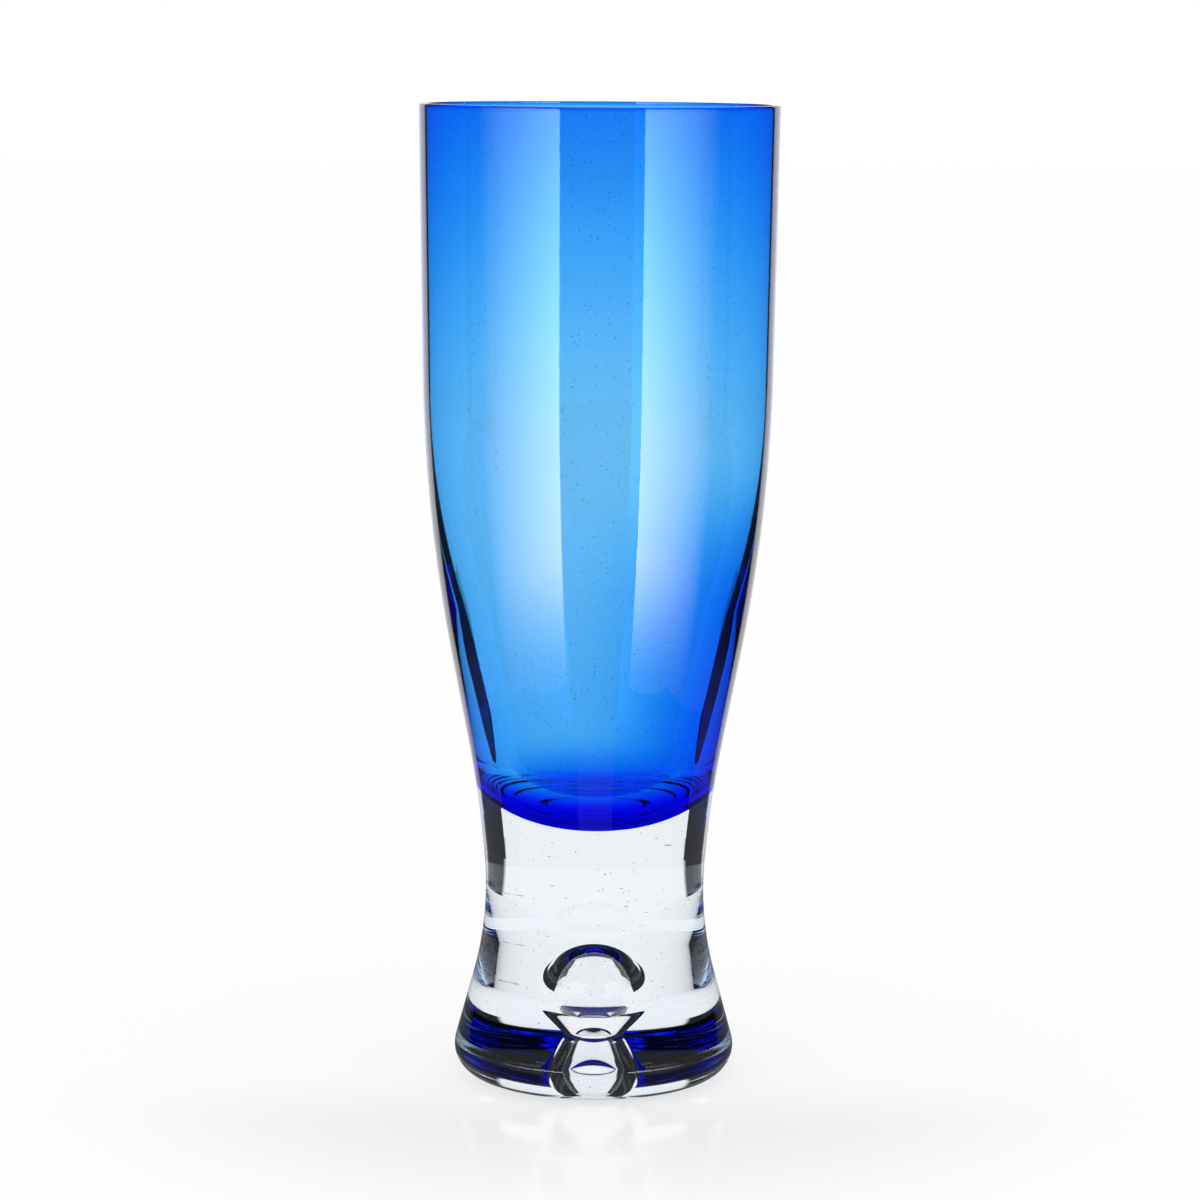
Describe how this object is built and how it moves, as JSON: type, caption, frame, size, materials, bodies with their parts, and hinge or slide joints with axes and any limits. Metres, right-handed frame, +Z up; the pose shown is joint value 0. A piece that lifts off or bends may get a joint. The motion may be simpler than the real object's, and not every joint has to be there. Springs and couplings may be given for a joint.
{
  "type": "glass tumbler",
  "caption": "Tall waisted drinking tumbler: a thin blue blown cup cased in clear glass, on a heavy clear foot with a blown bubble in it.",
  "frame": {"origin": "centre of the underside of the foot, on the surface that the tumbler stands on", "axes": "+Z up the tumbler's axis to the rim; the tumbler is round, so +X and +Y are any two square directions, with -Y towards the viewer of the picture"},
  "size_m": [0.073, 0.073, 0.2],
  "materials": {
    "clear_glass": "fire-polished clear glass",
    "blue_glass": "fire-polished transparent blue glass"
  },
  "bodies": {
    "root": {"clear_casing": "clear_glass", "blue_cup": "blue_glass"}
  },
  "joints": []
}
